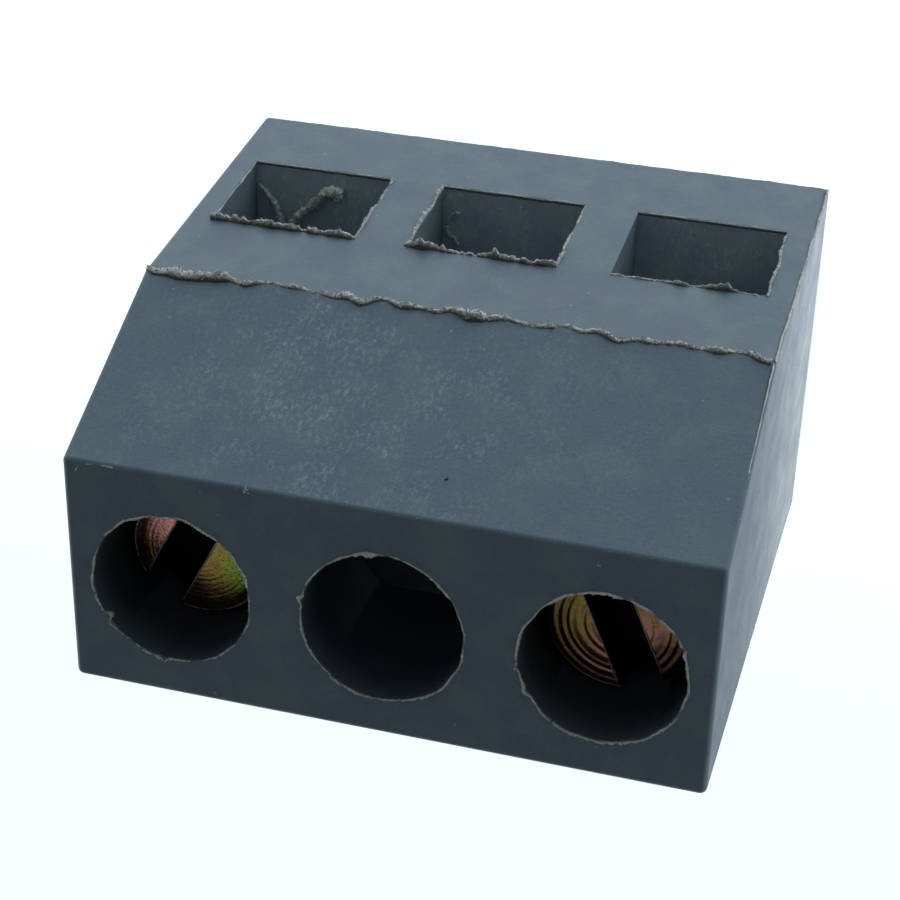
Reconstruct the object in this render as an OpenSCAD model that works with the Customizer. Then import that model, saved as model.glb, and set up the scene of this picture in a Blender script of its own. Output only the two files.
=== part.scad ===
// Three-pole board terminal block, fitted with clamps on its two outer poles only.
// Origin: middle of the solder pin row, on the board. +Z leaves the board, -Y is the wire side.

/* [Housing] */
// Distance between neighbouring poles
pole_pitch = 5.08; // [5.0:0.02:6.5]
// Height of the block over the board
body_h = 13.5; // [13.2:0.1:16]
// Depth of the screw face, from the flat back
screw_face_d = 5.96; // [5.6:0.02:7]
// Height of the ridge between the slope and the wire face
ridge_h = 8.4; // [7.6:0.1:9.6]
// Depth of the block at the ridge, from the flat back
ridge_d = 8.48; // [8:0.02:9.2]
// Depth of the block at the board, from the flat back
foot_d = 9.37; // [9.2:0.01:10.5]
// Distance from the flat back to the screw axis
screw_back = 2.92; // [2.8:0.02:3.2]
// Radius of the moulded outer edges
edge_r = 0.16; // [0.05:0.01:0.3]

/* [Bores and wire entries] */
// Diameter of a screwdriver bore
bore_d = 3.85; // [3.5:0.05:4]
// Width of a wire entry
entry_w = 3.75; // [3.2:0.05:3.8]
// Height of a wire entry in the wire face
entry_h = 3.2; // [2.8:0.05:3.4]
// Height of a wire entry's sill over the board
entry_sill = 2.55; // [2.4:0.05:2.8]
// Lead-in chamfer around the foot of each chamber
mouth_chamfer = 0.2; // [0.05:0.05:0.25]

/* [Clamp screw] */
// Outside diameter of the screw's thread
thread_d = 2.5; // [2.2:0.1:2.6]
// Diameter of the neck between thread and head
neck_d = 2.05; // [1.8:0.05:2.15]
// Length of the neck
neck_h = 0.5; // [0.3:0.1:0.8]
// Diameter of the screw head
head_d = 3.44; // [3:0.02:3.5]
// Height of the screw head
head_h = 1.4; // [1.2:0.05:1.5]
// Size of the rounding between the top and the side of the head
head_edge_r = 0.12; // [0.05:0.01:0.3]
// Depth of the head below the screw face
head_recess = 1.78; // [1.3:0.02:1.9]
// Width of the driver slot
slot_w = 1.04; // [0.6:0.02:1.1]
// Depth of the driver slot
slot_depth = 0.85; // [0.5:0.05:1]
// Direction of the slot of pole 1, from +X
slot_angle_1 = 113.5; // [0:0.5:180]
// Direction of the slot of pole 3, from +X
slot_angle_3 = 63; // [0:0.5:180]
// Distance that the slot of pole 3 was cut off centre
slot_offset_3 = 0.29; // [0:0.01:0.35]

/* [Clamp cage] */
// Width of the cage across the poles
cage_w = 3.9; // [3.6:0.05:3.95]
// Length of the cage along the wire
cage_d = 2.8; // [2.4:0.05:2.85]
// Thickness of the cage's folded strip
cage_sheet = 0.55; // [0.4:0.05:0.6]
// Number of grip grooves across the cage floor
grooves = 3; // [1:1:4]
// Width of a grip groove
groove_w = 0.25; // [0.1:0.05:0.3]
// Depth of a grip groove
groove_depth = 0.12; // [0.05:0.01:0.2]
// Height left for a wire when the clamp is open
wire_gap = 2.45; // [2.2:0.05:2.5]

/* [Contact bar and solder pin] */
// Width of the contact bar inside the cage
bar_w = 2.6; // [2:0.05:2.65]
// Thickness of the contact bar
bar_t = 0.7; // [0.5:0.05:0.75]
// Inner radius of the contact bar's bends
bend_r = 0.25; // [0.1:0.05:0.3]
// Reach of the contact bar in front of the cage
bar_reach = 1.25; // [0.8:0.05:1.5]
// Height of the contact bar's foot over the board
foot_lift = 0.35; // [0.2:0.05:0.5]
// Diameter of a solder pin
pin_d = 1.0; // [0.8:0.05:1.3]
// Length of a solder pin below the block
pin_len = 3.5; // [2.5:0.1:4.5]
// Diameter of the tenon that passes through the contact bar's foot
tenon_d = 0.75; // [0.6:0.05:0.75]
// Diameter of a solder pin's rivet head
rivet_d = 1.6; // [1.4:0.05:1.9]
// Height of a solder pin's rivet head
rivet_h = 0.25; // [0.15:0.05:0.4]

/* [Fits] */
// Running gap between the screw thread and the cage's bore
thread_gap = 0.05; // [0.02:0.01:0.1]
// Gap at each side of the cage in its chamber
cage_gap = 0.05; // [0.03:0.01:0.1]
// Gap between faces that seat on each other or pass by
seat_gap = 0.05; // [0.02:0.01:0.08]

/* [Hidden] */
$fn = 64;
eps = 1;              // how far a cutter runs past the face that it opens
poles = 3;            // poles moulded side by side; pole 2, in the middle, stays empty

// Housing
body_w = poles * pole_pitch;
back_y = screw_back;
bore_r = bore_d / 2;

// Clamp stack, from the sill of the wire entry upwards, with the clamp open
cage_floor_z = entry_sill - seat_gap;
cage_z = cage_floor_z - cage_sheet;
bar_z = cage_floor_z + wire_gap;
bar_top_z = bar_z + bar_t;
cage_roof_z = bar_top_z + 4 * seat_gap;
cage_top_z = cage_roof_z + 2 * cage_sheet;
cage_travel = wire_gap - seat_gap;
chamber_top_z = cage_top_z + cage_travel + 3 * seat_gap;

// Screw, from the screw face downwards
head_top_z = body_h - head_recess;
head_z = head_top_z - head_h;
tip_z = bar_top_z + seat_gap;

// Contact bar and chamber, from the screw axis to the back and to the front
leg_front_y = cage_d / 2 + 3 * seat_gap;
leg_back_y = leg_front_y + bar_t;
bar_front_y = -cage_d / 2 - bar_reach;
chamber_front_y = bar_front_y - seat_gap;
chamber_back_y = leg_back_y + seat_gap / 2;
chamber_w = cage_w + 2 * cage_gap;
upper_chamber_d = cage_d + 4 * cage_gap;
foot_top_z = foot_lift + bar_t;
pin_r = pin_d / 2;
tenon_r = tenon_d / 2;

function pole_x(pole) = (pole - (poles + 1) / 2) * pole_pitch;

// Front of the block at a height: the wire face leans back from the board up to the ridge
function wire_face_y(z) = back_y - foot_d + (foot_d - ridge_d) * z / ridge_h;

// A closed outline from corners [x, y, radius], each rounded by a tangent arc
function unit(v) = v / norm(v);
function arc(centre, from, to, steps) =
    let (a = atan2(from.y, from.x),
         turn = atan2(from.x * to.y - from.y * to.x, from * to))
    [for (i = [0:steps]) centre + norm(from) * [cos(a + turn * i / steps), sin(a + turn * i / steps)]];
function corner(before, at, after, r, steps) =
    let (u = unit(before - at), v = unit(after - at),
         half = acos(u * v) / 2,
         centre = at + unit(u + v) * r / sin(half),
         reach = r / tan(half))
    arc(centre, at + u * reach - centre, at + v * reach - centre, steps);
function outline(corners, steps = 5) =
    let (n = len(corners), p = [for (c = corners) [c[0], c[1]]])
    [for (i = [0:n - 1])
        each corners[i][2] > 0
            ? corner(p[(i + n - 1) % n], p[i], p[(i + 1) % n], corners[i][2], steps)
            : [p[i]]];

// Extrudes a (y, z) outline along X, and an (x, z) outline along Y, both centred
module along_x(width) {
    rotate([90, 0, 90]) linear_extrude(width, center = true) children();
}
module along_y(depth) {
    rotate([90, 0, 0]) linear_extrude(depth, center = true) children();
}

// Box between two corners
module block(low, high) {
    translate(low) cube(high - low);
}

// ---- Housing ----

module body_section() {
    polygon(outline([
        [back_y - foot_d, 0, edge_r],
        [back_y, 0, edge_r],
        [back_y, body_h, edge_r],
        [back_y - screw_face_d, body_h, edge_r],
        [back_y - ridge_d, ridge_h, edge_r]]));
}

// Wire entry: a level sill, and a roof that leads the wire down under the contact bar
module entry_section() {
    entry_top = entry_sill + entry_h;
    polygon([
        [wire_face_y(0) - eps, entry_sill],
        [chamber_front_y + seat_gap, entry_sill],
        [chamber_front_y + seat_gap, bar_z - seat_gap],
        [chamber_front_y, bar_z - seat_gap],
        [wire_face_y(entry_top), entry_top],
        [wire_face_y(0) - eps, entry_top]]);
}

// Chamber open to the board: wide at the contact bar, narrow where only the cage rises
module chamber() {
    side = chamber_w / 2;
    block([-side, chamber_front_y, -eps], [side, chamber_back_y, bar_top_z + seat_gap]);
    block([-side, -upper_chamber_d / 2, 0], [side, upper_chamber_d / 2, chamber_top_z]);
    chamber_mouth();
}

// Lead-in round the foot of the chamber, cut as one bevel along each pair of sides
module chamber_mouth() {
    depth = chamber_back_y - chamber_front_y;
    middle_y = (chamber_back_y + chamber_front_y) / 2;
    translate([0, middle_y, 0]) {
        along_y(depth) bevel_section(chamber_w / 2);
        along_x(chamber_w) bevel_section(depth / 2);
    }
}
module bevel_section(half_width) {
    polygon([
        [-half_width - mouth_chamfer, 0],
        [half_width + mouth_chamfer, 0],
        [half_width, mouth_chamfer],
        [-half_width, mouth_chamfer]]);
}

module housing() {
    color("#6b7c88") difference() {
        along_x(body_w) body_section();
        for (pole = [1:poles]) translate([pole_x(pole), 0, 0]) {
            chamber();
            along_x(entry_w) entry_section();
            translate([0, 0, chamber_top_z]) cylinder(r = bore_r, h = body_h - chamber_top_z + eps);
        }
    }
}

// ---- Clamp screw ----

// Half section [radius, z]: pointed thread end, neck, flat head with a rounded rim
module screw_section() {
    thread_r = thread_d / 2;
    head_r = head_d / 2;
    tip_chamfer = 0.12 * thread_d;
    rim = [for (a = [0:22.5:90])
        [head_r - head_edge_r * (1 - cos(a)), head_top_z - head_edge_r * (1 - sin(a))]];
    polygon(concat([
        [0, tip_z],
        [thread_r - tip_chamfer, tip_z],
        [thread_r, tip_z + tip_chamfer],
        [thread_r, head_z - neck_h],
        [neck_d / 2, head_z - neck_h + (thread_d - neck_d) / 2],
        [neck_d / 2, head_z],
        [head_r, head_z]],
        rim,
        [[0, head_top_z]]));
}

module clamp_screw(pole, slot_angle, slot_offset) {
    color("#b9a03c") translate([pole_x(pole), 0, 0]) difference() {
        rotate_extrude() screw_section();
        rotate([0, 0, slot_angle]) translate([0, -slot_offset, 0])
            block([-head_d, -slot_w / 2, head_top_z - slot_depth], [head_d, slot_w / 2, head_top_z + eps]);
    }
}

// ---- Clamp cage ----

// Strip folded to a box, its two ends lapped over each other to form the threaded roof
module cage_section() {
    side = cage_w / 2;
    fold_r = 1.1 * cage_sheet;
    lap_x = side - fold_r;
    inner_r = fold_r - cage_sheet;
    difference() {
        polygon(outline([
            [-side, cage_z, fold_r],
            [side, cage_z, fold_r],
            [side, cage_roof_z + cage_sheet, fold_r],
            [lap_x, cage_roof_z + cage_sheet, 0],
            [lap_x, cage_top_z, inner_r],
            [-side, cage_top_z, fold_r]]));
        polygon(outline([
            [-side + cage_sheet, cage_floor_z, inner_r],
            [side - cage_sheet, cage_floor_z, inner_r],
            [side - cage_sheet, cage_roof_z, inner_r],
            [-side + cage_sheet, cage_roof_z, inner_r]]));
    }
}

module grip_grooves() {
    window_w = cage_w - 2 * cage_sheet;
    spacing = cage_d / (grooves + 1);
    for (i = [1:grooves])
        translate([0, -cage_d / 2 + i * spacing, cage_floor_z])
            cube([window_w - groove_w, groove_w, 2 * groove_depth], center = true);
}

module clamp_cage(pole) {
    color("#c9b25a") translate([pole_x(pole), 0, 0]) difference() {
        along_y(cage_d) cage_section();
        translate([0, 0, cage_roof_z - cage_sheet])
            cylinder(r = thread_d / 2 + thread_gap, h = 4 * cage_sheet);
        grip_grooves();
    }
}

// ---- Contact bar ----

// Side section [y, z]: tongue under the screw, leg down the back, foot over the board
module bar_section() {
    outer_r = bend_r + bar_t;
    foot_front_y = -rivet_d / 2 - bend_r;
    polygon(outline([
        [bar_front_y, bar_z, 0],
        [leg_front_y, bar_z, bend_r],
        [leg_front_y, foot_top_z, bend_r],
        [foot_front_y, foot_top_z, 0],
        [foot_front_y, foot_lift, 0],
        [leg_back_y, foot_lift, outer_r],
        [leg_back_y, bar_top_z, outer_r],
        [bar_front_y, bar_top_z, bend_r]]));
}

// Back plate as wide as the chamber, with barbed edges that hold the bar in the housing
module back_plate() {
    side = chamber_w / 2;
    edge = side - cage_gap;
    low = foot_top_z + bend_r;
    high = bar_z - bend_r;
    barb = (high - low) / 4;
    right = [[edge, low], [edge, low + barb], [side, low + barb], [edge, low + 2 * barb],
             [edge, low + 2.5 * barb], [side, low + 2.5 * barb], [edge, low + 3.5 * barb], [edge, high]];
    left = [for (i = [len(right) - 1:-1:0]) [-right[i].x, right[i].y]];
    translate([0, (leg_front_y + leg_back_y) / 2, 0]) along_y(bar_t) polygon(concat(right, left));
}

module contact_bar(pole) {
    color("#c9cdd0") translate([pole_x(pole), 0, 0]) difference() {
        union() {
            along_x(bar_w) bar_section();
            back_plate();
        }
        translate([0, 0, foot_lift - eps]) cylinder(r = tenon_r, h = bar_t + 2 * eps);
    }
}

// ---- Solder pin ----

// Round pin with a tapered end, and a tenon riveted over on the foot of the contact bar
module solder_pin(pole) {
    taper_h = 0.4 * pin_d;
    dome = [for (a = [0:18:90]) [rivet_d / 2 * cos(a), foot_top_z + rivet_h * sin(a)]];
    color("#d6d9db") translate([pole_x(pole), 0, 0]) rotate_extrude() polygon(concat([
        [0, -pin_len],
        [0.6 * pin_r, -pin_len],
        [pin_r, -pin_len + taper_h],
        [pin_r, foot_lift],
        [tenon_r, foot_lift],
        [tenon_r, foot_top_z]],
        dome));
}

// One clamp module per fitted pole
module clamp_screw_pole1() { clamp_screw(1, slot_angle_1, 0); }
module clamp_screw_pole3() { clamp_screw(3, slot_angle_3, slot_offset_3); }
module clamp_cage_pole1() { clamp_cage(1); }
module clamp_cage_pole3() { clamp_cage(3); }
module contact_bar_pole1() { contact_bar(1); }
module contact_bar_pole3() { contact_bar(3); }
module solder_pin_pole1() { solder_pin(1); }
module solder_pin_pole3() { solder_pin(3); }

housing();
clamp_screw_pole1();
clamp_cage_pole1();
contact_bar_pole1();
solder_pin_pole1();
clamp_screw_pole3();
clamp_cage_pole3();
contact_bar_pole3();
solder_pin_pole3();
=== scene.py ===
import math
import random

import bmesh
import bpy
from mathutils import Matrix, Quaternion, Vector, noise


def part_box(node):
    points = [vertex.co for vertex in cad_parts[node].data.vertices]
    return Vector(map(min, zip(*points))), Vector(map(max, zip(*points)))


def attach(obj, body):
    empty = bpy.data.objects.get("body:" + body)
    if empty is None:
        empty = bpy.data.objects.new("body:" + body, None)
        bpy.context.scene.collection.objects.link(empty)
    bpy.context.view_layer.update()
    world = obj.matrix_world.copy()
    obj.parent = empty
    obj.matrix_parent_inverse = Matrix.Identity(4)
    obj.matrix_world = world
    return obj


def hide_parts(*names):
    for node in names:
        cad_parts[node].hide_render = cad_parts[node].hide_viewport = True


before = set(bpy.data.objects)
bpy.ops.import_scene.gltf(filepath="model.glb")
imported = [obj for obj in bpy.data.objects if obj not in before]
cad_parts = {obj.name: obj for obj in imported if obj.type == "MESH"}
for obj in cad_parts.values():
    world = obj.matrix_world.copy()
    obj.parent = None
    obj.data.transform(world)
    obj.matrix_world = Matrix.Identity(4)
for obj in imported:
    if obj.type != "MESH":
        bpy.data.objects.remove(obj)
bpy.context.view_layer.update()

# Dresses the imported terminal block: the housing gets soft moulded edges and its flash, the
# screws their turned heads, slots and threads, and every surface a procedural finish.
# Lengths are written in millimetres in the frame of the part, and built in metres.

MM = 0.001

# ---- Places taken from the frame ----


def box_mm(node):
    low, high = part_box(node)
    return low / MM, high / MM


BODY_LOW, BODY_HIGH = box_mm("housing")
POLE_X = {pole: sum(c.x for c in box_mm(f"clamp_screw_pole{pole}")) / 2 for pole in (1, 3)}
POLE_X[2] = (POLE_X[1] + POLE_X[3]) / 2
PIN_TIP_Z = box_mm("solder_pin_pole1")[0].z

# Section of the housing, as in the part's source
RIDGE_Y, RIDGE_Z = BODY_HIGH.y - 8.48, 8.4
TOP_FRONT_Y = BODY_HIGH.y - 5.96
FOOT_FRONT_Y = BODY_LOW.y
BORE_R = 1.925
CHAMBER_TOP_Z, CHAMBER_FRONT_Y, CHAMBER_BACK_Y, CHAMBER_HALF_W = 9.5, -2.7, 2.4, 2.3
ENTRY_W, ENTRY_Z0, ENTRY_Z1 = 3.75, 2.55, 5.75


def wire_face_y(z):
    return FOOT_FRONT_Y + (RIDGE_Y - FOOT_FRONT_Y) * z / RIDGE_Z


WIRE_OUT = Vector((0, -RIDGE_Z, RIDGE_Y - FOOT_FRONT_Y)).normalized()
WIRE_UP = Vector((0, RIDGE_Y - FOOT_FRONT_Y, RIDGE_Z)).normalized()
SLOPE_OUT = Vector((0, -(BODY_HIGH.z - RIDGE_Z), TOP_FRONT_Y - RIDGE_Y)).normalized()
ALONG_X = Vector((1, 0, 0))
ALONG_Z = Vector((0, 0, 1))


# ---- Colours and node graphs ----


def srgb(red, green, blue):
    """Linear colour from the 0-255 values that a screen shows."""
    def linear(v):
        v /= 255
        return v / 12.92 if v <= 0.04045 else ((v + 0.055) / 1.055) ** 2.4
    return (linear(red), linear(green), linear(blue), 1.0)


class Graph:
    """Adds nodes to a tree; each method links what it is given and returns the result's socket."""

    def __init__(self, tree):
        self.tree = tree
        tree.nodes.clear()

    def node(self, kind, inputs, **settings):
        made = self.tree.nodes.new(kind)
        for name, value in settings.items():
            setattr(made, name, value)
        for key, value in inputs.items():
            if isinstance(value, bpy.types.NodeSocket):
                self.tree.links.new(value, made.inputs[key])
            else:
                made.inputs[key].default_value = value
        return made

    def place_mm(self):
        """Place on the piece, in millimetres."""
        where = self.node("ShaderNodeTexCoord", {}).outputs["Object"]
        return self.node("ShaderNodeVectorMath", {0: where, "Scale": 1 / MM}, operation="SCALE").outputs[0]

    def stretch(self, place, factors):
        return self.node("ShaderNodeVectorMath", {0: place, 1: factors}, operation="MULTIPLY").outputs[0]

    def noise(self, place, per_mm, detail=4.0, roughness=0.55, distortion=0.0):
        return self.node("ShaderNodeTexNoise", {
            "Vector": place, "Scale": per_mm, "Detail": detail,
            "Roughness": roughness, "Distortion": distortion}).outputs["Fac"]

    def cells(self, place, per_mm):
        """Distance from the nearest of a scatter of points, in cells."""
        return self.node("ShaderNodeTexVoronoi", {"Vector": place, "Scale": per_mm}).outputs["Distance"]

    def steps(self, value, low, high, out_low=0.0, out_high=1.0):
        """Maps low..high smoothly to out_low..out_high, and holds both ends."""
        return self.node("ShaderNodeMapRange", {
            "Value": value, "From Min": low, "From Max": high,
            "To Min": out_low, "To Max": out_high}, interpolation_type="SMOOTHSTEP").outputs[0]

    def math(self, operation, a, b=0.0):
        return self.node("ShaderNodeMath", {0: a, 1: b}, operation=operation).outputs[0]

    def axis(self, place, name):
        return self.node("ShaderNodeSeparateXYZ", {0: place}).outputs[name]

    def mix(self, share, a, b):
        return self.node("ShaderNodeMix", {0: share, 6: a, 7: b}, data_type="RGBA").outputs[2]

    def attribute(self, name):
        return self.node("ShaderNodeAttribute", {}, attribute_name=name).outputs["Fac"]

    def bump(self, height, depth_mm, strength=1.0, normal=None):
        inputs = {"Height": height, "Distance": depth_mm * MM, "Strength": strength}
        if normal is not None:
            inputs["Normal"] = normal
        return self.node("ShaderNodeBump", inputs).outputs[0]

    def surface(self, **inputs):
        shader = self.node("ShaderNodeBsdfPrincipled", {
            key.replace("_", " "): value for key, value in inputs.items()})
        self.node("ShaderNodeOutputMaterial", {"Surface": shader.outputs[0]})


def material(name):
    made = bpy.data.materials.new(name)
    made.use_nodes = True
    return made, Graph(made.node_tree)


# ---- Finishes ----

PLASTIC = srgb(93, 115, 123)
PLASTIC_DEEP = srgb(88, 106, 121)
PLASTIC_WHITENED = srgb(158, 176, 184)


def toned(colour, factor, tint=(1.0, 1.0, 1.0)):
    return tuple(v * factor * t for v, t in zip(colour, tint)) + (1.0,)


def moulded_plastic(name, roughness, grain_mm, tone=1.0, tint=(1.0, 1.0, 1.0), scuffs=0.0, scuffed=None,
                    pits=0.0, matt_end=0.0):
    """Blue-grey polyamide: cloudy colour, pale specks, and a grain from the mould's surface.

    scuffed is the middle of the most scuffed area in mm; matt_end adds roughness towards the screws.
    """
    light, deep, whitened = (toned(colour, tone, tint) for colour in (PLASTIC, PLASTIC_DEEP, PLASTIC_WHITENED))
    made, g = material(name)
    p = g.place_mm()
    clouds = g.steps(g.noise(p, 0.8, 5.0, 0.62, 0.4), 0.38, 0.64)
    colour = g.mix(clouds, deep, light)
    mottle = g.steps(g.noise(p, 9.0, 4.0, 0.7), 0.3, 0.7, 0.0, 0.22)
    colour = g.mix(mottle, colour, toned(deep, 0.72))
    # pale scuffs lie in drifts of short flecks, drawn out along the slope
    flecks = g.noise(g.stretch(p, (1.0, 0.55, 0.55)), 11.0, 4.0, 0.66, 0.15)
    drifts = g.steps(g.noise(p, 0.85, 4.0, 0.6), 0.38, 0.68, 0.15, 1.0)
    strength = g.math("MULTIPLY", g.steps(flecks, 0.44, 0.76), drifts)
    if scuffed:
        away = g.node("ShaderNodeVectorMath", {0: p, 1: scuffed}, operation="DISTANCE").outputs["Value"]
        strength = g.math("MULTIPLY", strength, g.steps(away, 1.5, 6.5, 1.0, 0.25))
    colour = g.mix(g.math("MULTIPLY", strength, scuffs), colour, whitened)
    # single bright specks, a few to the square millimetre
    specks = g.math("MULTIPLY", g.steps(g.cells(p, 2.6), 0.10, 0.04),
                    g.steps(g.noise(p, 1.3, 2.0), 0.56, 0.62))
    colour = g.mix(g.math("MULTIPLY", specks, 0.55), colour, whitened)
    # small dark pits
    holes = g.math("MULTIPLY", g.steps(g.cells(p, 2.4), 0.11, 0.05),
                   g.steps(g.noise(p, 1.7, 2.0), 0.48, 0.56))
    holes = g.math("MULTIPLY", holes, pits)
    colour = g.mix(holes, colour, srgb(42, 50, 56))
    gloss = g.steps(g.noise(p, 1.1, 4.0, 0.6), 0.3, 0.7, roughness - 0.05, roughness + 0.06)
    gloss = g.math("ADD", gloss, g.steps(g.axis(p, "Z"), 1.0, BODY_HIGH.z - 0.5, 0.0, matt_end))
    gloss = g.math("ADD", gloss, g.math("MULTIPLY", holes, 0.3))
    eroded = g.noise(p, 14.0, 6.0, 0.68)
    normal = g.bump(eroded, grain_mm)
    normal = g.bump(g.noise(p, 1.6, 3.0), 0.012, normal=normal)
    normal = g.bump(holes, -0.02, normal=normal)
    g.surface(Base_Color=colour, Roughness=gloss, Normal=normal)
    return made


def torn_flash():
    """Flash: thin torn plastic, lighter towards its crest, partly whitened plastic and partly a painted highlight, and
    olive-brown on its shaded side, a painted shade.
    """
    made, g = material("torn_flash")
    p = g.place_mm()
    crest = g.attribute("crest")
    grain = g.noise(p, 14.0, 5.0, 0.72)
    # the crest value runs from olive-brown painted shade, through the flash's own colour, to whitened tips that also
    # carry a painted highlight
    painted_shade_colour = g.mix(g.steps(grain, 0.35, 0.65), srgb(88, 86, 66), srgb(120, 116, 98))
    body = g.mix(g.steps(grain, 0.35, 0.65), srgb(146, 144, 133), srgb(176, 177, 169))
    tips = g.mix(g.steps(grain, 0.35, 0.7), srgb(186, 194, 190), srgb(222, 228, 226))
    colour = g.mix(g.steps(crest, 0.10, 0.45), painted_shade_colour, body)
    colour = g.mix(g.steps(crest, 0.50, 0.95), colour, tips)
    g.surface(Base_Color=colour, Roughness=0.62, Normal=g.bump(g.noise(p, 30.0, 4.0, 0.7), 0.02))
    return made


def plated(name, colours, roughness, tints=(), mottle=0.4):
    """Plated metal whose passivation drifts between two colours, with mottling and washes of tint.

    A tint is a colour, the place of its middle in mm, and its radius.
    """
    made, g = material(name)
    p = g.place_mm()
    first, second = colours
    drift = g.noise(p, 1.6, 4.0, 0.6, 0.8)
    colour = g.mix(g.steps(drift, 0.38, 0.60), first, second)
    for tint, middle, radius in tints:
        away = g.node("ShaderNodeVectorMath", {0: p, 1: middle}, operation="DISTANCE").outputs["Value"]
        away = g.math("ADD", away, g.steps(drift, 0.3, 0.7, -0.35, 0.35))
        colour = g.mix(g.steps(away, radius * 1.6, radius * 0.35), colour, tint)
    spots = g.steps(g.noise(p, 17.0, 4.0, 0.75), 0.50, 0.66)
    colour = g.mix(g.math("MULTIPLY", spots, mottle), colour, srgb(58, 46, 36))
    rough = g.steps(g.noise(p, 6.0, 4.0, 0.6), 0.3, 0.7, roughness - 0.05, roughness + 0.08)
    normal = g.bump(g.noise(p, 18.0, 4.0, 0.65), 0.006)
    g.surface(Base_Color=colour, Roughness=rough, Metallic=1.0, Normal=normal)
    return made


SATIN = moulded_plastic("housing_satin", roughness=0.46, grain_mm=0.004, scuffs=0.10)
ERODED = moulded_plastic("housing_eroded", roughness=0.62, grain_mm=0.02, tone=1.2, scuffs=0.55,
                         scuffed=(1.4, -4.5, 10.4))
POLISHED = moulded_plastic("housing_polished", roughness=0.30, grain_mm=0.002, scuffs=0.1, pits=0.8, matt_end=0.28)
# lighter, warmer copy of the plastic for the walls inside the wire entries: painted light
MOUTH_PAINTED_LIGHT = moulded_plastic("housing_mouth_painted_light", roughness=0.5, grain_mm=0.006, tone=1.1,
                        tint=(1.12, 1.0, 0.92), scuffs=0.2)
# much lighter, warmer copy of the plastic for the entry sills, which the entry's roof shades: painted light
SILL_PAINTED_LIGHT = moulded_plastic("housing_sill_painted_light", roughness=0.55, grain_mm=0.008, tone=2.8, tint=(1.25, 1.02, 0.90), scuffs=0.3)
# darkened copy of the plastic for the bores and chambers: painted shade in the recesses
WELL_PAINTED_SHADE = moulded_plastic("housing_well_painted_shade", roughness=0.6, grain_mm=0.006, tone=0.42)
FLASH = torn_flash()
YELLOW_CHROMATE = (srgb(232, 210, 104), srgb(224, 176, 104))
CHROMATE_PINK, CHROMATE_GREEN, CHROMATE_BROWN = srgb(252, 178, 162), srgb(176, 214, 72), srgb(150, 104, 88)
HEAD_Z = box_mm("clamp_screw_pole1")[1].z
CHROMATE = {
    1: plated("yellow_chromate_pole1", [toned(c, 0.42) for c in YELLOW_CHROMATE], 0.15, [
        (toned(CHROMATE_PINK, 0.45), (POLE_X[1] - 0.6, 0.0, HEAD_Z), 0.4),
        (toned(CHROMATE_PINK, 0.38), (POLE_X[1] + 0.45, 1.0, HEAD_Z), 0.55),
        (toned(CHROMATE_BROWN, 0.45), (POLE_X[1] - 1.3, 0.9, HEAD_Z), 0.7)], 0.35),
    3: plated("yellow_chromate_pole3", [toned(c, 0.6) for c in YELLOW_CHROMATE], 0.17, [
        (CHROMATE_PINK, (POLE_X[3] + 1.1, -0.6, HEAD_Z), 0.6),
        (toned(CHROMATE_GREEN, 0.6), (POLE_X[3] - 1.45, 0.4, HEAD_Z), 0.62),
        (toned(CHROMATE_BROWN, 0.7), (POLE_X[3] + 0.1, 1.15, HEAD_Z), 0.45)], 0.8)}
# pale metal for the slot's burrs and the head's rim: partly rubbed metal, partly a painted highlight
RUBBED_EDGE_AND_HIGHLIGHT = plated("rubbed_edge_and_painted_highlight", (srgb(214, 214, 206), srgb(196, 190, 170)), 0.5)
GRIME = moulded_plastic("grime", roughness=0.8, grain_mm=0.01, tone=0.25)
# near-black metal for the slot's walls and floor: painted shade in the slot
SLOT_PAINTED_SHADE = plated("slot_painted_shade", (srgb(30, 28, 26), srgb(22, 22, 22)), 0.55)
SHEET_PLATING = plated("cage_plating", (srgb(200, 200, 196), srgb(206, 200, 184)), 0.3)
BAR_TIN = plated("bar_tin", (srgb(205, 207, 208), srgb(196, 200, 204)), 0.36)
PIN_TIN = plated("pin_tin", (srgb(210, 212, 212), srgb(218, 218, 216)), 0.4)


# ---- Mesh helpers ----


def piece(name, mesh, finishes, body):
    """A named object that moves with a body of the frame."""
    made = bpy.data.objects.new(name, mesh)
    bpy.context.scene.collection.objects.link(made)
    for finish in finishes:
        mesh.materials.append(finish)
    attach(made, body)
    return made


def mesh_of(shape, name):
    """The finished mesh of a shape drawn in mm."""
    for vert in shape.verts:
        vert.co *= MM
    for face in shape.faces:
        face.smooth = True
    mesh = bpy.data.meshes.new(name)
    shape.to_mesh(mesh)
    shape.free()
    return mesh


def bake_modifiers(made):
    """Replaces the object's mesh by what its modifiers make of it."""
    evaluated = made.evaluated_get(bpy.context.evaluated_depsgraph_get())
    mesh = bpy.data.meshes.new_from_object(evaluated)
    made.modifiers.clear()
    made.data = mesh
    return mesh


# ---- Housing: the moulding with soft edges ----


def edge_softness(a, b):
    """How far an edge of the moulding is rounded, in mm."""
    on_end = all(abs(abs(v.x) - BODY_HIGH.x) < 0.01 for v in (a, b))
    if on_end:
        return 0.16
    if all(v.z < 0.01 and v.y < FOOT_FRONT_Y + 0.01 for v in (a, b)):
        return 0.12
    if all(abs(v.z - BODY_HIGH.z) < 0.01 for v in (a, b)):
        return 0.05
    on_wire_face = all(abs(v.y - wire_face_y(v.z)) < 0.01 for v in (a, b))
    if on_wire_face and all(ENTRY_Z0 - 0.1 < v.z < ENTRY_Z1 + 0.1 for v in (a, b)):
        return 0.05
    return 0.0


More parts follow.
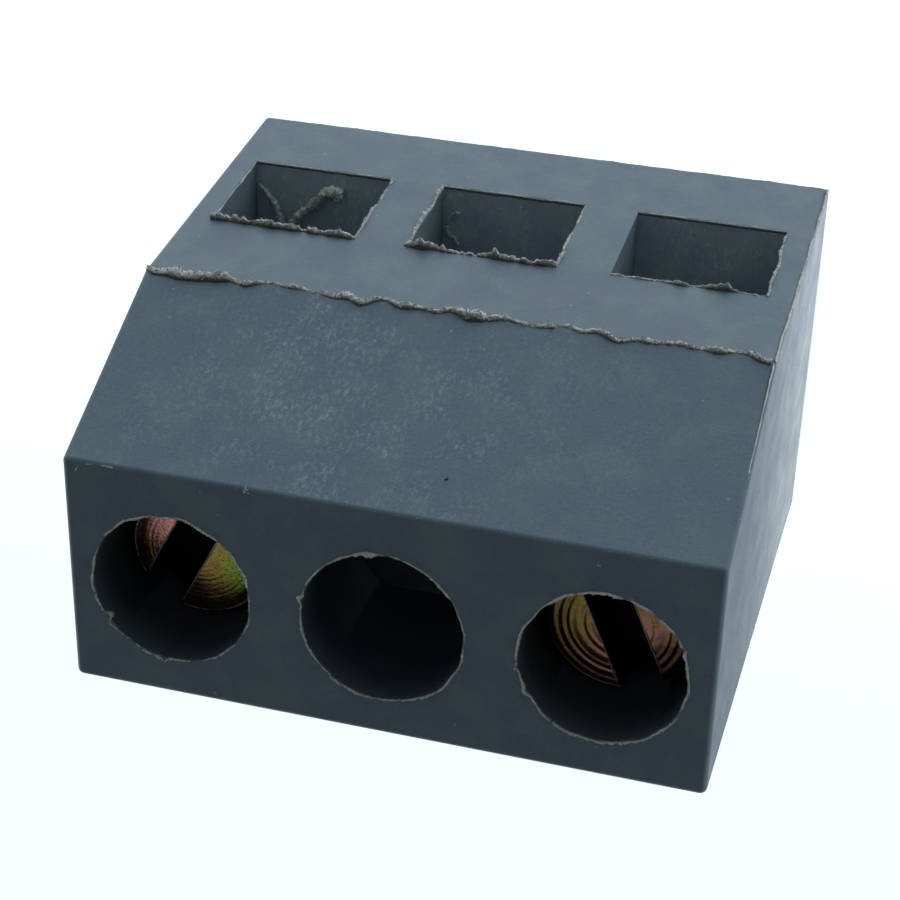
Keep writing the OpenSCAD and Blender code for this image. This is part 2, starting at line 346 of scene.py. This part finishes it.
def face_finish(middle, normal):
    """Which finish a face of the moulding has, from its middle in mm and its normal."""
    if normal.dot(SLOPE_OUT) > 0.995:
        return ERODED
    if abs(normal.x) > 0.99 and abs(middle.x) > BODY_HIGH.x - 0.01:
        return POLISHED
    across = min(abs(middle.x - x) for x in POLE_X.values())
    inside = 0.05 < middle.z < BODY_HIGH.z - 0.05 and wire_face_y(middle.z) + 0.02 < middle.y
    # the entries' walls and sills take lit copies of the plastic (painted light), the chambers and bores a darkened
    # copy (painted shade)
    if inside and middle.y < CHAMBER_FRONT_Y + 0.02 and across < ENTRY_W / 2 + 0.05 and (
            ENTRY_Z0 - 0.05 < middle.z < ENTRY_Z1 + 0.05):
        return SILL_PAINTED_LIGHT if normal.z > 0.9 else MOUTH_PAINTED_LIGHT
    if inside and middle.z < CHAMBER_TOP_Z + 0.05 and across < CHAMBER_HALF_W and middle.y < CHAMBER_BACK_Y:
        return WELL_PAINTED_SHADE
    if inside and math.hypot(across, middle.y) < BORE_R + 0.05:
        return WELL_PAINTED_SHADE
    return SATIN


def soft_housing():
    """The CAD moulding with its outer edges and mouths rounded, one finish to each kind of face."""
    shape = bmesh.new()
    shape.from_mesh(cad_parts["housing"].data)
    for vert in shape.verts:
        vert.co /= MM
    bmesh.ops.remove_doubles(shape, verts=shape.verts, dist=0.001)
    bmesh.ops.dissolve_limit(shape, angle_limit=math.radians(0.5), verts=shape.verts, edges=shape.edges)
    shape.normal_update()
    widest = 0.16
    weight = shape.edges.layers.float.new("bevel_weight_edge")
    for edge in shape.edges:
        if len(edge.link_faces) == 2 and edge.calc_face_angle() > math.radians(40):
            a, b = (v.co for v in edge.verts)
            edge[weight] = edge_softness(a, b) / widest
    finishes = [SATIN, ERODED, POLISHED, MOUTH_PAINTED_LIGHT, SILL_PAINTED_LIGHT, WELL_PAINTED_SHADE]
    for face in shape.faces:
        face.smooth = True
        face.material_index = finishes.index(face_finish(face.calc_center_median(), face.normal))
    for vert in shape.verts:
        vert.co *= MM
    mesh = bpy.data.meshes.new("moulded_housing")
    shape.to_mesh(mesh)
    shape.free()
    made = piece("moulded_housing", mesh, finishes, "housing")
    bevel = made.modifiers.new("soft_edges", "BEVEL")
    bevel.limit_method = "WEIGHT"
    bevel.width = widest * MM
    bevel.segments = 4
    bevel.use_clamp_overlap = False
    bevel.miter_outer = "MITER_ARC"
    mesh = bake_modifiers(made)
    mesh.shade_smooth()
    mesh.set_sharp_from_angle(angle=math.radians(38))
    made.modifiers.new("even_shading", "WEIGHTED_NORMAL").keep_sharp = True
    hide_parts("housing")
    return made


soft_housing()


# ---- Flash and burrs ----


def ragged(place, seed, lumps=2.2, crumbs=9.0):
    """Uneven growth along an edge, about 1, from broad lumps and fine crumbs."""
    shift = Vector((seed * 7.13, seed * 3.71, seed * 5.37))
    broad = noise.noise((place + shift) * lumps)
    fine = noise.noise((place - shift) * crumbs)
    return max(0.12, 1.0 + 1.1 * broad + 0.7 * fine)


def stations(corners, spacing, closed=False):
    """Evenly spaced places along a chain of corners, with their share of its length."""
    ends = corners + [corners[0]] if closed else corners
    places = []
    for a, b in zip(ends, ends[1:]):
        count = max(1, round((b - a).length / spacing))
        places += [a.lerp(b, i / count) for i in range(count)]
    if not closed:
        places.append(corners[-1])
    return [(place, i / max(1, len(places) - 1)) for i, place in enumerate(places)]


def at(value, place):
    """A size or direction that may vary: its value at a place or share."""
    return value(place) if callable(value) else value


def fin(shape, corners, rise, aside, height, width, seed, closed=False, spacing=0.03, sides=9, wander=0.03,
        painted_shade_side=0.35, torn=1.0, pale=0.0):
    """Torn fin that stands on an edge, lighter on its crest, partly whitened plastic and partly a painted highlight,
    and darker by painted shade on the side that aside points to.

    rise and aside are unit vectors, or functions of place: where the fin grows, and across it.
    height and width are in mm, or functions of the share along the edge; torn is how ragged it is,
    and pale whitens all of it.
    Returns places on its surface, for grains to stick to.
    """
    crest = shape.verts.layers.float["crest"]
    rings, tops = [], []
    for place, share in stations(corners, spacing, closed):
        up, side = at(rise, place), at(aside, place)
        grown = 1 + torn * (ragged(place, seed) - 1)
        high = at(height, share) * grown
        wide = at(width, share) * (0.65 + 0.35 * grown)
        middle = place + side * (wander * noise.noise(place * 1.9 + Vector((seed, 0, 0))))
        lean = side * (0.5 * high * noise.noise(place * 3.1 + Vector((0, seed, 0))))
        ring = []
        for k in range(sides + 1):
            turn = math.pi * k / sides
            lift = math.sin(turn)
            spot = middle + side * (math.cos(turn) * wide / 2) + up * (lift * high - 0.025) + lean * lift
            crumble = noise.noise_vector(spot * 15.0) * 0.34 + noise.noise_vector(spot * 34.0) * 0.22
            vert = shape.verts.new(spot + crumble * (torn * min(high, wide) * lift))
            # the crest value: a painted highlight towards the tip, and painted shade on the side that aside points to
            vert[crest] = pale + lift * min(1.0, 0.4 + 0.5 * grown) - painted_shade_side * math.cos(turn)
            ring.append(vert)
        rings.append(ring)
        tops += [vert.co.copy() for vert in ring[2:-2]]
    pairs = list(zip(rings, rings[1:] + rings[:1] if closed else rings[1:]))
    for one, two in pairs:
        for k in range(sides):
            shape.faces.new((one[k], one[k + 1], two[k + 1], two[k]))
        shape.faces.new((one[0], two[0], two[sides], one[sides]))
    if not closed:
        shape.faces.new(rings[0])
        shape.faces.new(rings[-1])
    return tops


def crumbs(shape, spots, count, size, seed, spread=(0.0, 0.0, 0.0), crest_value=0.6):
    """Grains of torn plastic stuck at some of the spots; spread is their scatter in x, y and z, in mm."""
    crest = shape.verts.layers.float["crest"]
    chance = random.Random(seed)
    for _ in range(count):
        middle = chance.choice(spots) + Vector([chance.gauss(0, s) for s in spread])
        turned = Quaternion([chance.gauss(0, 1) for _ in range(4)]).normalized().to_matrix()
        whiteness = crest_value + chance.uniform(-0.25, 0.35)
        tips = []
        for way in turned.transposed():
            for sign in (1, -1):
                vert = shape.verts.new(middle + way * (sign * size * chance.uniform(0.25, 1.0)))
                vert[crest] = whiteness
                tips.append(vert)
        for i in (0, 1):
            for j in (2, 3):
                for k in (4, 5):
                    shape.faces.new((tips[i], tips[j], tips[k]))


def strand(shape, corners, radius, seed, spacing=0.03, sides=12, fuzz=0):
    """Fuzzy thread of flash along a chain of corners; radius is a function of the share along it."""
    crest = shape.verts.layers.float["crest"]
    rings = []
    walk = stations(corners, spacing)
    for i, (place, share) in enumerate(walk):
        before, after = walk[max(0, i - 3)][0], walk[min(len(walk) - 1, i + 3)][0]
        way = (after - before).normalized()
        side = way.cross(ALONG_Z).normalized()
        up = side.cross(way)
        ring = []
        for k in range(sides):
            turn = 2 * math.pi * k / sides
            out = side * math.cos(turn) + up * math.sin(turn)
            lumps = noise.noise((place + out * 0.15) * 5.0 + Vector((seed, 0, 0)))
            spot = place + out * (radius(share) * (0.85 + 0.5 * lumps))
            spot += noise.noise_vector(spot * 16.0 + Vector((seed, seed, 0))) * (0.4 * radius(share))
            vert = shape.verts.new(spot)
            # painted light on the side that faces the mouth (-Y) and painted shade on the +Y side, which faces away
            # from it
            vert[crest] = 0.7 + 0.3 * max(0.0, -out.y) - 0.6 * max(0.0, out.y)
            ring.append(vert)
        rings.append(ring)
    for one, two in zip(rings, rings[1:]):
        for k in range(sides):
            shape.faces.new((one[k - 1], one[k], two[k], two[k - 1]))
    shape.faces.new(rings[0])
    shape.faces.new(rings[-1])
    crumbs(shape, [vert.co.copy() for ring in rings for vert in ring], fuzz, 0.032, seed, crest_value=0.85)


def flash_piece(name, build, finish=FLASH, body="housing"):
    """A torn or raised edge, on the housing unless another body is named: build(shape) draws it in mm."""
    shape = bmesh.new()
    shape.verts.layers.float.new("crest")
    build(shape)
    bmesh.ops.recalc_face_normals(shape, faces=shape.faces)
    return piece(name, mesh_of(shape, name), [finish], body)


def swell(*humps, base=0.0):
    """Size along an edge: a base with smooth humps, each (share, half width, height)."""
    def size(share):
        return base + sum(
            height * (0.5 + 0.5 * math.cos(math.pi * min(1.0, abs(share - middle) / half)))
            for middle, half, height in humps)
    return size


def ridge_flash(shape):
    ends = [Vector((x, RIDGE_Y, RIDGE_Z)) for x in (BODY_HIGH.x - 0.05, BODY_LOW.x + 0.12)]
    rise = (WIRE_OUT + SLOPE_OUT).normalized()
    aside = rise.cross(ALONG_X).normalized()
    # thick where the mould's halves met worst: at the pole 3 end and beside the middle
    tops = fin(shape, ends, rise, aside, swell((0.11, 0.09, 0.05), (0.53, 0.05, 0.05), base=0.06),
               swell((0.06, 0.12, 0.14), (0.33, 0.08, 0.05), (0.54, 0.06, 0.10), (0.47, 0.02, -0.08), base=0.15),
               seed=1, wander=0.16, painted_shade_side=0.40, torn=1.2)
    crumbs(shape, tops, 2200, 0.030, seed=2, spread=(0.01, 0.012, 0.012), crest_value=0.55)


def entry_edges(pole):
    """Corners of a wire entry's mouth: [low +X, low -X, high -X, high +X]."""
    return [Vector((POLE_X[pole] + side * ENTRY_W / 2, wire_face_y(z), z))
            for side, z in ((1, ENTRY_Z0), (-1, ENTRY_Z0), (-1, ENTRY_Z1), (1, ENTRY_Z1))]


def entry_flash(pole, high, minus, plus):
    """Fins round an entry's mouth; each edge has (height, width), or None for a clean edge."""
    def build(shape):
        corner = entry_edges(pole)
        runs = (((3, 2), WIRE_UP, high), ((1, 2), ALONG_X, minus), ((0, 3), ALONG_X, plus))
        for seed, ((a, b), aside, size) in enumerate(runs, start=10 * pole):
            if size:
                tops = fin(shape, [corner[a], corner[b]], WIRE_OUT, aside, *size, seed=seed, wander=0.05)
                crumbs(shape, tops, 260, 0.022, seed, crest_value=0.75)
        # thin pale line at the sill, which the mould closed cleanly, painted as the edge's highlight, and a dark lip
        # inside it, painted as the edge's shade
        fin(shape, [corner[0], corner[1]], WIRE_OUT, WIRE_UP, 0.035, 0.045, seed=10 * pole + 4, torn=0.5, wander=0.0,
            painted_shade_side=-0.3)
        inward = Vector((0, 0.05, 0.0))
        fin(shape, [corner[0] + inward, corner[1] + inward], ALONG_Z, Vector((0, 1, 0)), 0.04, 0.085,
            seed=10 * pole + 5, torn=0.25, wander=0.0, painted_shade_side=0.0, pale=-0.8)
    return build


def bore_burr(pole, height, width, shift, seed):
    """Burr round a bore's mouth; shift moves it outwards, in mm, as a function of the share round."""
    def build(shape):
        middle = Vector((POLE_X[pole], 0, BODY_HIGH.z))
        count = 240
        ring = []
        for i in range(count):
            turn = 2 * math.pi * i / count
            out = Vector((math.cos(turn), math.sin(turn), 0))
            ring.append(middle + out * (BORE_R + 0.02 + shift(i / count)))
        tops = fin(shape, ring, ALONG_Z, lambda place: (place - middle).normalized(), height, width, seed,
                   closed=True, spacing=0.05, wander=0.06, painted_shade_side=-0.25, torn=1.15)
        crumbs(shape, tops, 520, 0.024, seed, crest_value=0.85)
    return build


def edge_burr(shape):
    """Crumbs left along the board edge of the wire face and down its far end."""
    foot = [Vector((x, FOOT_FRONT_Y + 0.03, 0.03)) for x in (BODY_HIGH.x - 0.4, BODY_LOW.x + 0.2)]
    fin(shape, foot, Vector((0, -0.7, -0.7)), Vector((0, -0.7, 0.7)), 0.012, 0.06, seed=40)
    end = [Vector((BODY_LOW.x + 0.03, wire_face_y(z) + 0.03, z)) for z in (0.15, RIDGE_Z)]
    fin(shape, end, Vector((-0.7, -0.7, 0)), Vector((0.7, -0.7, 0)), swell((0.1, 0.2, 0.03), base=0.03), 0.08, seed=41)
    top = [Vector((BODY_LOW.x + 0.04, y, z)) for y, z in (
        (RIDGE_Y + 0.04, RIDGE_Z + 0.1), (TOP_FRONT_Y + 0.04, BODY_HIGH.z - 0.1))]
    fin(shape, top, Vector((-0.7, -0.7, 0)), Vector((0.7, -0.7, 0)), 0.012, 0.05, seed=42)


def inside_mouth(pole, dx, z, depth):
    """Place in a wire entry: across from its middle, height, and depth behind the wire face."""
    return Vector((POLE_X[pole] + dx, wire_face_y(z) + depth, z))


def on_sill(pole, dx, y, lift=0.1):
    return Vector((POLE_X[pole] + dx, y, ENTRY_Z0 + lift))


def forked_strand(shape):
    """Forked wisp of flash that lies on the sill of pole 3's entry, its arms towards the mouth."""
    thick_arm = [on_sill(3, dx, y, lift) for dx, y, lift in (
        (1.15, -4.1, 0.08), (0.88, -4.5, 0.14), (0.70, -4.80, 0.14), (0.45, -5.02, 0.13), (0.28, -5.18, 0.13),
        (0.10, -5.40, 0.14), (-0.12, -5.60, 0.14), (-0.36, -5.62, 0.13), (-0.47, -5.50, 0.08))]
    thin_arm = [on_sill(3, dx, y, lift) for dx, y, lift in (
        (1.15, -4.1, 0.08), (1.18, -4.50, 0.12), (1.25, -4.82, 0.10), (1.35, -5.06, 0.09), (1.48, -5.24, 0.08),
        (1.62, -5.40, 0.07), (1.78, -5.54, 0.06))]
    strand(shape, thick_arm, lambda share: 0.15 - 0.06 * share + 0.10 * share ** 3, seed=50, fuzz=1500)
    strand(shape, thin_arm, lambda share: 0.16 - 0.12 * share, seed=51, fuzz=800)


def curled_threads(shape):
    """Fine curls on the sill of the empty entry, against its +X wall."""
    upper = [on_sill(2, dx, y, 0.05) for dx, y in ((1.40, -5.48), (1.50, -5.50), (1.62, -5.43), (1.74, -5.26))]
    lower = [on_sill(2, dx, y, 0.05) for dx, y in (
        (1.74, -5.10), (1.74, -4.94), (1.66, -4.86), (1.56, -4.80), (1.46, -4.66), (1.50, -4.52))]
    strand(shape, upper, lambda share: 0.035, seed=52, fuzz=60)
    strand(shape, lower, lambda share: 0.055 - 0.02 * share, seed=53, fuzz=120)


def chips(shape):
    """Small whitened chips on the screw face and along its front edge, and a grain on a sill."""
    top = BODY_HIGH.z
    for x, y, count, size, spread in (
            (3.16, TOP_FRONT_Y + 0.02, 12, 0.035, 0.04), (4.05, 2.64, 6, 0.03, 0.03), (-4.87, -2.67, 5, 0.03, 0.03)):
        crumbs(shape, [Vector((x, y, top))], count, size, seed=x, spread=(spread, spread, 0.01), crest_value=0.9)
    hook = [Vector((x, TOP_FRONT_Y + 0.03 + y, top)) for x, y in ((6.35, 0.0), (6.9, 0.02), (7.2, 0.08), (7.28, 0.25))]
    fin(shape, hook, ALONG_Z, Vector((0, 1, 0)), 0.03, 0.04, seed=70, wander=0.03, painted_shade_side=-0.2)
    rim = [place for place, _ in stations(
        [Vector((x, TOP_FRONT_Y, top - 0.015)) for x in (BODY_HIGH.x - 0.2, BODY_LOW.x + 0.2)], 0.05)]
    crumbs(shape, rim, 90, 0.016, seed=71, spread=(0.01, 0.015, 0.008), crest_value=0.45)
    crumbs(shape, [on_sill(1, -1.17, -5.46, 0.0)], 4, 0.04, seed=72, spread=(0.02, 0.03, 0.005), crest_value=0.9)


def dirt_fleck(shape):
    """One dark fleck on the slope."""
    crumbs(shape, [Vector((-1.16, -3.54, 12.47))], 8, 0.04, seed=73, spread=(0.02, 0.01, 0.02))


thin, thick = 0.07, 0.13
flash_piece("ridge_flash", ridge_flash)
flash_piece("entry_flash_pole3", entry_flash(
    3, high=(swell((0.35, 0.5, 0.06), base=0.13), thick), minus=(swell((0.75, 0.4, 0.05), base=0.06), thin),
    plus=(swell((1.0, 0.2, 0.10), base=0.02), thin)))
flash_piece("entry_flash_pole2", entry_flash(
    2, high=(swell((0.15, 0.2, 0.08), (0.55, 0.2, 0.10), (0.92, 0.08, 0.10), base=0.12), thick),
    minus=(swell((0.8, 0.3, 0.06), base=0.03), thin),
    plus=(swell((0.15, 0.2, 0.08), (0.6, 0.2, 0.03), base=0.08), 0.09)))
flash_piece("entry_flash_pole1", entry_flash(
    1, high=(swell((0.72, 0.14, 0.16), (0.45, 0.1, 0.04), base=0.05), 0.07),
    minus=(swell((0.15, 0.1, 0.05), (0.85, 0.1, 0.05), base=0.05), thin), plus=None))
thin_ring = swell((0.27, 0.2, 0.015), (0.78, 0.1, 0.02), base=0.045)
flash_piece("bore_burr_pole3", bore_burr(
    3, swell((0.09, 0.02, 0.05), (0.233, 0.01, 0.08), base=0.045), swell((0.09, 0.016, 0.22), (0.23, 0.01, 0.05), base=0.055),
    swell((0.091, 0.014, -0.15), (0.233, 0.008, 0.10), (0.108, 0.012, 0.05)), 60))
flash_piece("bore_burr_pole2", bore_burr(
    2, thin_ring, swell((0.968, 0.012, 0.08), (0.78, 0.035, 0.06), (0.714, 0.006, 0.05), base=0.05),
    swell((0.968, 0.012, 0.09), (0.15, 0.01, 0.04)), 61))
flash_piece("bore_burr_pole1", bore_burr(
    1, thin_ring, swell((0.03, 0.012, 0.07), (0.573, 0.01, 0.06), (0.082, 0.02, 0.04), base=0.06),
    swell((0.03, 0.01, 0.06), (0.573, 0.01, 0.07), (0.082, 0.014, 0.06)), 62))
flash_piece("edge_burr", edge_burr)
flash_piece("forked_strand_pole3", forked_strand)
flash_piece("curled_threads_pole2", curled_threads)
flash_piece("chips", chips)
flash_piece("dirt_fleck", dirt_fleck, finish=GRIME)


# ---- Screws: turned heads, driver slots and cut threads ----

HEAD_R, HEAD_H, NECK_H, NECK_R = 1.72, 1.4, 0.5, 1.025
THREAD_R, THREAD_PITCH = 1.25, 0.45
SLOT_W, SLOT_DEPTH = 1.04, 0.85
TURNS_SIDES = 128


def threaded_radius(z, turn, low, high):
    """Radius of the thread's flank, which runs out to the core at both ends."""
    core = THREAD_R - 0.24
    phase = (z / THREAD_PITCH - turn / (2 * math.pi)) % 1.0
    flank = min(1.0, max(0.0, 1.35 * (1 - abs(2 * phase - 1)) - 0.12))
    run_out = min(1.0, (z - low) / 0.3, (high - z) / 0.2)
    return core + (THREAD_R - core) * flank * max(0.0, run_out)


def screw_rows(tip_z, head_z, ring_depth, ring_pitch, fall):
    """Rows (z, radius, threaded) from the tip up and over the head to its middle."""
    neck_z = head_z - HEAD_H
    low, high = tip_z, neck_z - NECK_H
    rows = [(tip_z, 0.55, False), (tip_z + 0.02, 0.85, False)]
    count = round((high - low) / 0.045)
    rows += [(low + 0.05 + (high - low - 0.05) * i / count, None, True) for i in range(count + 1)]
    rows += [(high + 0.12, NECK_R, False), (neck_z - 0.04, NECK_R, False), (neck_z, NECK_R + 0.05, False)]
    rows += [(neck_z, HEAD_R - 0.08, False), (neck_z + 0.02, HEAD_R - 0.02, False), (neck_z + 0.08, HEAD_R, False)]
    rim, cone = 0.08, 0.26
    rows += [(head_z - fall - rim * (1 - math.sin(a)), HEAD_R - rim * (1 - math.cos(a)), False)
             for a in (math.radians(v) for v in range(0, 91, 15))]
    # tool marks on the faced top, from the rim's cone inwards
    radius = HEAD_R - rim - 0.015
    while radius > 0.05:
        wave = radius + 0.35 * ring_pitch * noise.noise(Vector((radius * 2.3, ring_pitch, 5.0)))
        uneven = max(0.15, 0.65 + 1.1 * noise.noise(Vector((radius * 4.3, ring_pitch, 0))))
        dip = ring_depth * uneven * (0.5 - 0.5 * math.cos(2 * math.pi * wave / ring_pitch))
        dip += fall * min(1.0, max(0.0, 1 - (HEAD_R - rim - radius) / cone))
        rows.append((head_z - 0.004 - dip, radius, False))
        radius -= ring_pitch / 8
    return rows, low, high


def turned_screw(pole, slot_angle, slot_offset, ring_depth, ring_pitch, fall):
    """Screw with tool marks of this depth and pitch on its head, whose rim falls away by fall."""
    node = f"clamp_screw_pole{pole}"
    low_corner, high_corner = box_mm(node)
    rows, low, high = screw_rows(low_corner.z, high_corner.z, ring_depth, ring_pitch, fall)
    shape = bmesh.new()
    axis_x = POLE_X[pole]
    rings = []
    for z, radius, threaded in rows:
        ring = []
        for k in range(TURNS_SIDES):
            turn = 2 * math.pi * k / TURNS_SIDES
            r = threaded_radius(z, turn, low, high) if threaded else radius
            ring.append(shape.verts.new((axis_x + r * math.cos(turn), r * math.sin(turn), z)))
        rings.append(ring)
    for one, two in zip(rings, rings[1:]):
        for k in range(TURNS_SIDES):
            shape.faces.new((one[k - 1], one[k], two[k], two[k - 1]))
    shape.faces.new(reversed(rings[0]))
    shape.faces.new(rings[-1])
    bmesh.ops.recalc_face_normals(shape, faces=shape.faces)
    made = piece(f"turned_screw_pole{pole}", mesh_of(shape, f"turned_screw_pole{pole}"), [CHROMATE[pole], SLOT_PAINTED_SHADE],
                 f"screw_pole{pole}")
    cut_slot(made, axis_x, high_corner.z, slot_angle, slot_offset)
    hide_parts(node)
    raise_edges(pole, high_corner.z, slot_angle, slot_offset)
    return made


def raise_edges(pole, top_z, angle, offset):
    """Burrs that a screwdriver has raised along the slot, and the rubbed rim of the head, in pale metal that is partly
    rubbed bare and partly a painted highlight.
    """
    turn = math.radians(angle)
    length, across = Vector((math.cos(turn), math.sin(turn), 0)), Vector((-math.sin(turn), math.cos(turn), 0))
    axis = Vector((POLE_X[pole], 0, top_z + 0.01))

    def build(shape):
        for side in (1, -1):
            reach = side * (SLOT_W / 2 + 0.02) - offset
            half = math.sqrt((HEAD_R - 0.2) ** 2 - reach ** 2)
            ends = [axis + across * reach + length * (half * way) for way in (-1, 1)]
            fin(shape, ends, ALONG_Z, across * side, 0.035, 0.04, seed=80 + side, wander=0.02, painted_shade_side=0.0, torn=0.5)
        count = 160
        rim_r = HEAD_R - 0.06
        rim = [axis + Vector((math.cos(a), math.sin(a), 0)) * rim_r - ALONG_Z * 0.035
               for a in (2 * math.pi * i / count for i in range(count))]
        slot_half = SLOT_W / 2 + 0.03
        rim = [spot for spot in rim if abs((spot - axis).dot(across) + offset) > slot_half]
        # the rim is in two arcs, one to each side of the slot
        for side in (1, -1):
            arc = [spot for spot in rim if side * ((spot - axis).dot(across) + offset) > 0]
            arc.sort(key=lambda spot: (spot - axis).dot(length))
            fin(shape, arc, ALONG_Z, lambda place: (place - axis).normalized(), 0.02, 0.025, seed=83, wander=0.005,
                torn=0.4)

    flash_piece(f"rubbed_edges_and_painted_highlights_pole{pole}", build, RUBBED_EDGE_AND_HIGHLIGHT, f"screw_pole{pole}")


def cut_slot(screw, axis_x, top_z, angle, offset):
    """Cuts the driver slot, whose walls and floor take the screw's second finish."""
    cutter_shape = bmesh.new()
    bmesh.ops.create_cube(cutter_shape, size=1.0)
    turn = math.radians(angle)
    length = Vector((math.cos(turn), math.sin(turn), 0))
    across = Vector((-math.sin(turn), math.cos(turn), 0))
    middle = Vector((axis_x, 0, top_z - SLOT_DEPTH + 1.0)) - across * offset
    for vert in cutter_shape.verts:
        x, y, z = vert.co
        vert.co = middle + length * (x * 4.5) + across * (y * SLOT_W) + ALONG_Z * (z * 2.0)
    # the slot's faces take the near-black painted shade
    for face in cutter_shape.faces:
        face.material_index = 1
    cutter = bpy.data.objects.new("slot_cutter", mesh_of(cutter_shape, "slot_cutter"))
    for finish in screw.data.materials:
        cutter.data.materials.append(finish)
    bpy.context.scene.collection.objects.link(cutter)
    cut = screw.modifiers.new("slot", "BOOLEAN")
    cut.operation, cut.solver, cut.object = "DIFFERENCE", "EXACT", cutter
    mesh = bake_modifiers(screw)
    bpy.data.objects.remove(cutter)
    mesh.shade_smooth()
    mesh.set_sharp_from_angle(angle=math.radians(32))


turned_screw(1, slot_angle=113.5, slot_offset=0.0, ring_depth=0.014, ring_pitch=0.19, fall=0.004)
turned_screw(3, slot_angle=63.0, slot_offset=0.29, ring_depth=0.003, ring_pitch=0.13, fall=0.03)


# ---- Cages, contact bars and pins keep their CAD shape, with softened edges ----


def finish_node(node, finish, softness):
    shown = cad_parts[node]
    shown.data.materials.clear()
    shown.data.materials.append(finish)
    soften = shown.modifiers.new("softened", "BEVEL")
    soften.width = softness * MM
    soften.segments = 2
    soften.limit_method = "ANGLE"
    soften.angle_limit = math.radians(50)


for pole in (1, 3):
    finish_node(f"clamp_cage_pole{pole}", SHEET_PLATING, 0.03)
    finish_node(f"contact_bar_pole{pole}", BAR_TIN, 0.03)
    finish_node(f"solder_pin_pole{pole}", PIN_TIN, 0.02)


# ---- Stage, lights and camera ----

STAGE_SIZE = 2.0
FLOOR_GLOW = 1.18
DAYLIGHT = (0.83, 0.93, 1.0, 1.0)
OVERHEAD = 0.125
WINDOW, WINDOW_WAY = 0.30, Vector((0.19, 0.40, 0.90)).normalized()


def stage():
    """Pale floor whose glow is the light from below, with painted shade behind the block and a painted shadow under
    its chambers.
    """
    made, g = material("pale_floor")
    p = g.place_mm()
    # painted shade: the glow dims behind the block and far off towards -Y; painted shadow: it darkens under the
    # chambers
    behind = g.steps(g.axis(p, "Y"), -3.0, 13.0, FLOOR_GLOW, 0.82 * FLOOR_GLOW)
    away = g.math("MULTIPLY", behind, g.steps(g.axis(p, "Y"), -10.0, -45.0, 1.0, 0.78))
    across = g.steps(g.math("ABSOLUTE", g.axis(p, "X")), BODY_HIGH.x, BODY_HIGH.x - 1.0)
    along = g.math("MULTIPLY", g.steps(g.axis(p, "Y"), -4.2, -3.0), g.steps(g.axis(p, "Y"), 3.6, 2.4))
    under = g.math("MULTIPLY", across, along)
    strength = g.math("MULTIPLY", away, g.math("SUBTRACT", 1.0, g.math("MULTIPLY", under, 0.95)))
    diffuse = g.node("ShaderNodeBsdfDiffuse", {"Color": (0.80, 0.80, 0.80, 1.0)})
    glow = g.node("ShaderNodeEmission", {"Color": DAYLIGHT, "Strength": strength})
    both = g.node("ShaderNodeAddShader", {0: diffuse.outputs[0], 1: glow.outputs[0]})
    g.node("ShaderNodeOutputMaterial", {"Surface": both.outputs[0]})
    half = STAGE_SIZE / 2
    z = PIN_TIP_Z * MM
    mesh = bpy.data.meshes.new("floor")
    mesh.from_pydata([(-half, -half, z), (half, -half, z), (half, half, z), (-half, half, z)], [], [(0, 1, 2, 3)])
    mesh.materials.append(made)
    floor = bpy.data.objects.new("floor", mesh)
    bpy.context.scene.collection.objects.link(floor)


def studio_sky():
    """White low walls that darken overhead, brighter on the wire side."""
    world = bpy.data.worlds.new("studio")
    bpy.context.scene.world = world
    world.use_nodes = True
    g = Graph(world.node_tree)
    way = g.node("ShaderNodeTexCoord", {}).outputs["Generated"]
    height = g.axis(way, "Z")
    level = g.steps(height, 0.08, 0.36, 1.0, OVERHEAD)
    facing = g.node("ShaderNodeVectorMath", {0: way, 1: WINDOW_WAY}, operation="DOT_PRODUCT").outputs["Value"]
    level = g.math("ADD", level, g.steps(facing, math.cos(math.radians(26)), math.cos(math.radians(9)), 0.0, WINDOW))
    light = g.node("ShaderNodeBackground", {"Color": (0.90, 0.97, 1.0, 1.0), "Strength": level})
    g.node("ShaderNodeOutputWorld", {"Surface": light.outputs[0]})


CAMERA_AZIMUTH, CAMERA_ELEVATION, CAMERA_ROLL = -25.113, 57.204, -149.261
CAMERA_TARGET, CAMERA_DISTANCE, CAMERA_LENS = Vector((1.783, 2.097, 1.544)), 60.0, 86.39


def camera():
    """Looks down on the screws and the wire side, with the board end of the block upwards."""
    azimuth, elevation, roll = (math.radians(v) for v in (CAMERA_AZIMUTH, CAMERA_ELEVATION, CAMERA_ROLL))
    back = Vector((math.sin(azimuth) * math.cos(elevation), -math.cos(azimuth) * math.cos(elevation), math.sin(elevation)))
    level = Vector((math.cos(azimuth), math.sin(azimuth), 0))
    rise = back.cross(level)
    right = level * math.cos(roll) + rise * math.sin(roll)
    lens = bpy.data.cameras.new("camera")
    lens.lens = CAMERA_LENS
    lens.clip_start, lens.clip_end = 0.002, 10.0
    made = bpy.data.objects.new("camera", lens)
    bpy.context.scene.collection.objects.link(made)
    made.matrix_world = matrix_of(right, back.cross(right), back, (CAMERA_TARGET + back * CAMERA_DISTANCE) * MM)
    bpy.context.scene.camera = made


def matrix_of(x, y, z, place):
    turned = Matrix((x, y, z)).transposed().to_4x4()
    turned.translation = place
    return turned


stage()
studio_sky()
camera()
bpy.context.scene.view_settings.view_transform = "Standard"
